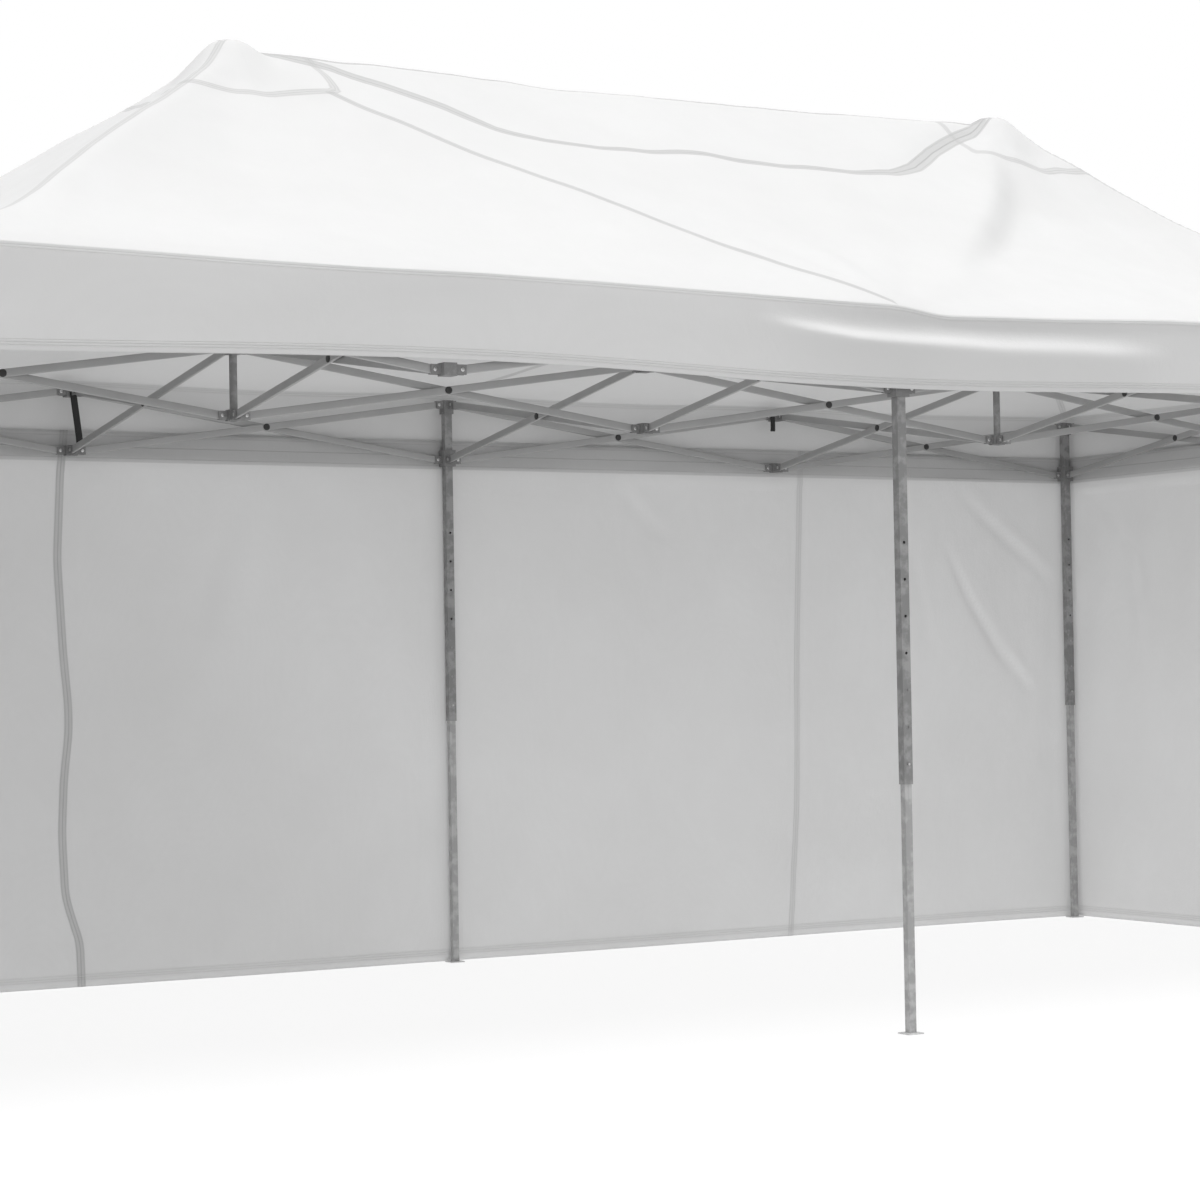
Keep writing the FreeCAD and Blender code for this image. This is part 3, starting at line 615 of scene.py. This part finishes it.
# ------------------------------------------------------------------ walls
def wall_sheet(name, node, body, start, end, out, zips, seed, diagonals,
               strong=False):
    """A hanging panel from start to end (plan points), bulging slightly along out.

    diagonals lists (line, width, size) of its long wrinkles; a strong zip is drawn darker.
    """
    start, end, out = np.array(start), np.array(end), np.array(out)
    length = np.linalg.norm(end - start)
    nu, nv = int(length / 0.016), 116
    u, v = np.meshgrid(np.linspace(0, length, nu + 1), np.linspace(0, 1, nv + 1), indexing="ij")
    low = 0.0035 + 0.0015 * np.sin(u * 2.1 + seed)
    z = low + (WALL_TOP - low) * v
    broad = Waves(seed, 7, 0.9, 2.2, (1.0, 0.6))
    folds = Waves(seed + 1, 8, 0.25, 0.7, (1.0, 0.28))
    small = Waves(seed + 2, 10, 0.10, 0.3, (1.0, 0.5))
    held = np.clip((1 - v) / 0.12, 0, 1) * np.clip(v / 0.03, 0.35, 1)
    beside = np.clip(np.minimum(u, length - u) / 0.10, 0, 1)
    bulge = 0.0075 + held * (0.0070 * broad(u, z) + 0.0030 * folds(u, z) + 0.0009 * small(u, z))
    for line, width, size in diagonals:
        d, s = along_line(u, z, line)
        fade = np.sin(np.pi * np.clip(s, 0, 1)) ** 0.7
        bulge += size * fade * (bell(d, width) - 0.6 * bell(d - 1.6 * width, width))
    spots, heights = zips
    gap = u - eased(z, heights, spots, 0.06)
    bulge += -0.0030 * bell(gap, 0.010) + 0.0022 * bell(np.abs(gap) - 0.022, 0.008)
    bulge = np.clip(bulge * beside, 0.0004, 0.024)
    bulge = np.where(z > 1.85, np.minimum(bulge, 0.0045), bulge)
    plan = start + (end - start) / length * u[..., None] + out * bulge[..., None]
    points = np.concatenate([plan, z[..., None]], -1).reshape(-1, 3)
    faces = [(i * (nv + 1) + j, (i + 1) * (nv + 1) + j, (i + 1) * (nv + 1) + j + 1, i * (nv + 1) + j + 1)
             for i in range(nu) for j in range(nv)]
    shown, hidden = ("seam_zip", "seam_faint") if strong else ("seam_faint", "seam_zip")
    fields = {shown: gap.ravel(), hidden: np.full(gap.size, NO_SEAM),
              # The 11 cm band at the wall's head is the doubled head hem, darkened further as painted shade
              # of the valance that hangs over it.
              "seam_hem": (z - low - 0.035).ravel(), "head_hem_and_valance_shade": (z - WALL_TOP + 0.057).ravel()}
    panel = make_object(name, points, faces, WALL, fields)
    thick = panel.modifiers.new("cloth", "SOLIDIFY")
    thick.thickness = 0.0008
    thick.offset = 0
    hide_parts(node)
    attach(panel, body)
    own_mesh(panel)


# Zips wander a little as they fall: places along the panel, then the heights they are at.
ZIP_HEIGHTS = [0.0, 0.25, 0.54, 0.97, 1.21, 1.49, 2.0]
ZIP_BACK_LEFT = ([1.560, 1.560, 1.556, 1.532, 1.505, 1.497, 1.507,
                  1.526, 1.525, 1.506, 1.487, 1.502, 1.518],
                 [0.0, 0.03, 0.165, 0.235, 0.33, 0.556, 0.744,
                  0.911, 1.011, 1.208, 1.53, 1.842, 2.0])
ZIP_BACK_RIGHT = ([1.552, 1.568, 1.590, 1.603, 1.610, 1.624, 1.644], ZIP_HEIGHTS)
ZIP_END = ([1.540, 1.535, 1.528, 1.520, 1.524, 1.532, 1.530], ZIP_HEIGHTS)


def build_walls():
    wall_sheet("wall_back_left_cloth", "wall_back", "leg_back_middle",
               (-3.0298, WALL_BACK_Y), (-0.001, WALL_BACK_Y), (0, 1), ZIP_BACK_LEFT, 31,
               [([(2.20, 1.85), (2.09, 1.53), (1.95, 1.09)], 0.060, 0.007),
                ([(0.4, 1.7), (0.9, 0.9)], 0.06, 0.004),
                ([(2.95, 1.75), (2.80, 1.30)], 0.03, 0.005)], strong=True)
    wall_sheet("wall_back_right_cloth", "wall_back", "leg_back_middle",
               (0.001, WALL_BACK_Y), (3.0298, WALL_BACK_Y), (0, 1), ZIP_BACK_RIGHT, 41,
               [([(2.37, 1.62), (2.47, 1.42), (2.65, 1.16), (2.83, 0.97)], 0.026, 0.016),
                ([(2.44, 1.84), (2.67, 1.66), (2.95, 1.45)], 0.028, 0.011),
                ([(2.10, 1.86), (2.22, 1.50), (2.30, 1.10)], 0.040, 0.006),
                ([(0.75, 1.86), (0.90, 1.70), (1.05, 1.60)], 0.030, 0.005)])
    wall_sheet("wall_right_cloth", "wall_right", "end_right",
               (WALL_END_X, -WALL_HALF), (WALL_END_X, WALL_HALF), (1, 0), ZIP_END, 51,
               [([(2.9, 1.86), (2.6, 1.55), (2.5, 1.1)], 0.035, 0.006)])
    wall_sheet("wall_left_cloth", "wall_left", "end_left",
               (-WALL_END_X, WALL_HALF), (-WALL_END_X, -WALL_HALF), (-1, 0), ZIP_END, 61,
               [([(2.8, 1.8), (2.3, 1.2)], 0.04, 0.005)])


# ------------------------------------------------------------------ scissor trusses
SPAN = BAY / 2 - 2 * PIN_OFFSET
RISE = UPPER_PIN - LOWER_PIN
TILT = math.atan2(RISE, SPAN)
REACH = math.hypot(SPAN, RISE) / 2
BAR_HALF_THICK, BAR_HALF_TALL, BAR_CORNER = 0.006, 0.0125, 0.0028
RIVET_RADIUS = 0.0037
PIN_RIVET = (0.0099, 0.006, 0.0016)       # half length to the head, head radius, dome height
MIDDLE_RIVET = (0.0132, 0.0125, 0.0042)


def rounded_section(half_w, half_h, radius, steps=4):
    ring = []
    for cx, cz, start in ((1, 1, 0), (-1, 1, 90), (-1, -1, 180), (1, -1, 270)):
        for k in range(steps + 1):
            a = math.radians(start + 90 * k / steps)
            ring.append(((half_w - radius) * cx + radius * math.cos(a),
                         (half_h - radius) * cz + radius * math.sin(a)))
    return ring


def bar_mesh(bm, matrix):
    """A rectangular tube with soft corners, pressed flatter and rounded off round its end pins."""
    half = [(0.5 * REACH, 1.0), (REACH - 0.006, 1.0), (REACH + 0.004, 0.95),
            (REACH + 0.0085, 0.80), (REACH + 0.0100, 0.55)]
    stations = [(-along, tall) for along, tall in half[::-1]] + [(0.0, 1.0)] + half
    rings = []
    for along, tall in stations:
        flat = 0.78 if abs(along) > REACH - 0.012 else 1.0
        section = rounded_section(BAR_HALF_THICK * flat, BAR_HALF_TALL * tall, BAR_CORNER * flat)
        rings.append([bm.verts.new(matrix @ Vector((along, y, z))) for y, z in section])
    for one, two in zip(rings, rings[1:]):
        for k in range(len(one)):
            after = (k + 1) % len(one)
            bm.faces.new((one[k], one[after], two[after], two[k])).smooth = True
    for ring in (rings[0][::-1], rings[-1]):
        bm.faces.new(ring)


def rivet_mesh(bm, matrix, size, slot):
    """A pin along Y with a domed head at each end."""
    half, radius, dome = size
    profile = [(RIVET_RADIUS, 0.0), (RIVET_RADIUS, half), (radius, half),
               (radius, half + dome * 0.45), (radius * 0.82, half + dome * 0.85),
               (radius * 0.4, half + dome), (0.0, half + dome)]
    sides = 20
    for sign in (-1, 1):
        rings = []
        for r, y in profile:
            angles = [2 * math.pi * k / sides for k in range(1 if r == 0 else sides)]
            rings.append([bm.verts.new(matrix @ Vector((r * math.cos(a), sign * y, r * math.sin(a))))
                          for a in angles])
        for one, two in zip(rings, rings[1:]):
            for k in range(sides):
                after = (k + 1) % sides
                corners = [one[k], one[after]]
                corners += [two[0]] if len(two) == 1 else [two[after], two[k]]
                face = bm.faces.new(corners if sign > 0 else corners[::-1])
                face.smooth = True
                face.material_index = slot


def truss(node, body, stations, along_x):
    """A row of crossed bar pairs; the rivets use the second and third material."""
    bm = bmesh.new()
    yaw = Matrix.Rotation(0 if along_x else math.pi / 2, 4, "Z")
    centre_z = (UPPER_PIN + LOWER_PIN) / 2
    for x, y in stations:
        home = Matrix.Translation((x, y, centre_z)) @ yaw
        for side in (1, -1):
            shift = Matrix.Translation((0, side * BAR_SHIFT, 0))
            bar_mesh(bm, home @ shift @ Matrix.Rotation(side * TILT, 4, "Y"))
            for end in (-1, 1):
                spot = Matrix.Translation((end * SPAN / 2, side * BAR_SHIFT, -end * side * RISE / 2))
                rivet_mesh(bm, home @ spot, PIN_RIVET, 1)
        rivet_mesh(bm, home, MIDDLE_RIVET, 2)
    piece = object_from(bm, node + "_bars", (BAR, PLATED, BLACK))
    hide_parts(node)
    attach(piece, body)
    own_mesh(piece)


def build_trusses():
    short_way = [-BAY / 4, BAY / 4]
    long_way = [-BAY * 3 / 4] + short_way + [BAY * 3 / 4]
    for node, body, y in (("truss_front", "leg_front_middle", -1.5), ("truss_ridge", "centre", 0.0),
                          ("truss_back", "leg_back_middle", 1.5)):
        truss(node, body, [(x, y) for x in long_way], True)
    for node, body, x in (("truss_left_end", "end_left", -3.0), ("truss_cross_left", "post_left", -1.5),
                          ("truss_middle", "centre", 0.0), ("truss_cross_right", "post_right", 1.5),
                          ("truss_right_end", "end_right", 3.0)):
        truss(node, body, [(x, y) for y in short_way], False)


# ------------------------------------------------------------------ webbing ends
def strap(name, body, top, bottom, width):
    """A flat webbing end hanging from a connector, with a slight curl and a folded, stitched tip."""
    top, bottom = Vector(top), Vector(bottom)
    fall = bottom - top
    section = ((-1, -1), (-0.4, -1.15), (0.4, -1.15), (1, -1), (1, 1), (0.4, 1.15), (-0.4, 1.15), (-1, 1))
    bm = bmesh.new()
    rings = []
    count = 24
    for n in range(count + 1):
        share = n / count
        curl = 0.004 * math.sin(2.6 * share) * share
        thick = 0.0007 if share < 0.86 else 0.0015
        middle = top + fall * share + Vector((0, -curl, 0))
        half = width / 2 * (1 if share < 0.97 else 0.85)
        rings.append([bm.verts.new(middle + Vector((sx * half, sy * thick, 0))) for sx, sy in section])
    for one, two in zip(rings, rings[1:]):
        for k in range(len(section)):
            after = (k + 1) % len(section)
            bm.faces.new((one[k], one[after], two[after], two[k])).smooth = True
    bm.faces.new(rings[0][::-1])
    bm.faces.new(rings[-1])
    piece = object_from(bm, name, (WEBBING,))
    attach(piece, body)


build_strips()
build_walls()
build_trusses()
strap("strap_back_left", "mid_back_left", (-1.497, 1.476, 2.128), (-1.474, 1.474, 1.932), 0.025)
strap("strap_back_right", "mid_back_right", (1.474, 1.476, 2.128), (1.470, 1.474, 2.068), 0.022)


# ------------------------------------------------------------------ floor, light, camera
def build_floor():
    """A pale studio floor that glows a little, like a light table, so that the shade on it stays soft."""
    n = Nodes("studio_floor")
    n.join(n.bsdf.inputs["Base Color"], n.blend(n.ramp(n.noise(0.4, 3), 0, 1), grey(0.105), grey(0.115)))
    n.bsdf.inputs["Roughness"].default_value = 0.9
    n.bsdf.inputs["Specular IOR Level"].default_value = 0.1
    n.bsdf.inputs["Emission Color"].default_value = (1, 1, 1, 1)
    n.bsdf.inputs["Emission Strength"].default_value = 0.87
    floor = make_object("floor", [(-60, -60, 0), (60, -60, 0), (60, 60, 0), (-60, 60, 0)], [(0, 1, 2, 3)],
                        n.material, smooth=False)


def soft_sun(name, energy, angle, towards):
    data = bpy.data.lights.new(name, "SUN")
    data.energy = energy
    data.angle = angle
    put_in_scene(name, data).rotation_euler = Vector(towards).to_track_quat("-Z", "Y").to_euler()


def build_light():
    """A dim even surround with a white backdrop, a broad light above and a low one from the open side."""
    world = bpy.data.worlds.new("studio")
    bpy.context.scene.world = world
    world.use_nodes = True
    tree = world.node_tree
    tree.nodes["Background"].inputs["Color"].default_value = (1, 1, 1, 1)
    tree.nodes["Background"].inputs["Strength"].default_value = 0.5
    backdrop = tree.nodes.new("ShaderNodeBackground")
    backdrop.inputs["Color"].default_value = (1, 1, 1, 1)
    seen = tree.nodes.new("ShaderNodeLightPath")
    choose = tree.nodes.new("ShaderNodeMixShader")
    tree.links.new(seen.outputs["Is Camera Ray"], choose.inputs[0])
    tree.links.new(tree.nodes["Background"].outputs[0], choose.inputs[1])
    tree.links.new(backdrop.outputs[0], choose.inputs[2])
    tree.links.new(choose.outputs[0], tree.nodes["World Output"].inputs["Surface"])
    soft_sun("overhead", 3.9, 0.9, (-0.04, 0.10, -0.99))
    soft_sun("low_front", 0.95, 0.5, (0.643, 0.766, -0.035))


def build_camera():
    """About a metre above the floor, off the front left corner; yaw runs from +Y towards +X."""
    yaw, pitch, roll = math.radians(31.6), math.radians(1.68), math.radians(-1.04)
    right = Vector((math.cos(yaw), -math.sin(yaw), 0))
    ahead = Vector((math.sin(yaw), math.cos(yaw), 0))
    up = Vector((0, 0, 1))
    forward = math.cos(pitch) * ahead + math.sin(pitch) * up
    lifted = -math.sin(pitch) * ahead + math.cos(pitch) * up
    side = math.cos(roll) * right + math.sin(roll) * lifted
    top = -math.sin(roll) * right + math.cos(roll) * lifted
    data = bpy.data.cameras.new("camera")
    data.sensor_width = 36
    data.lens = 90.3
    data.shift_x = -0.092
    data.shift_y = -0.009
    data.clip_end = 200
    camera = put_in_scene("camera", data)
    turn = Matrix((side, top, -forward)).transposed().to_4x4()
    camera.matrix_world = Matrix.Translation((-5.188, -8.842, 1.068)) @ turn
    bpy.context.scene.camera = camera


build_floor()
build_light()
build_camera()
bpy.context.scene.view_settings.view_transform = "Standard"
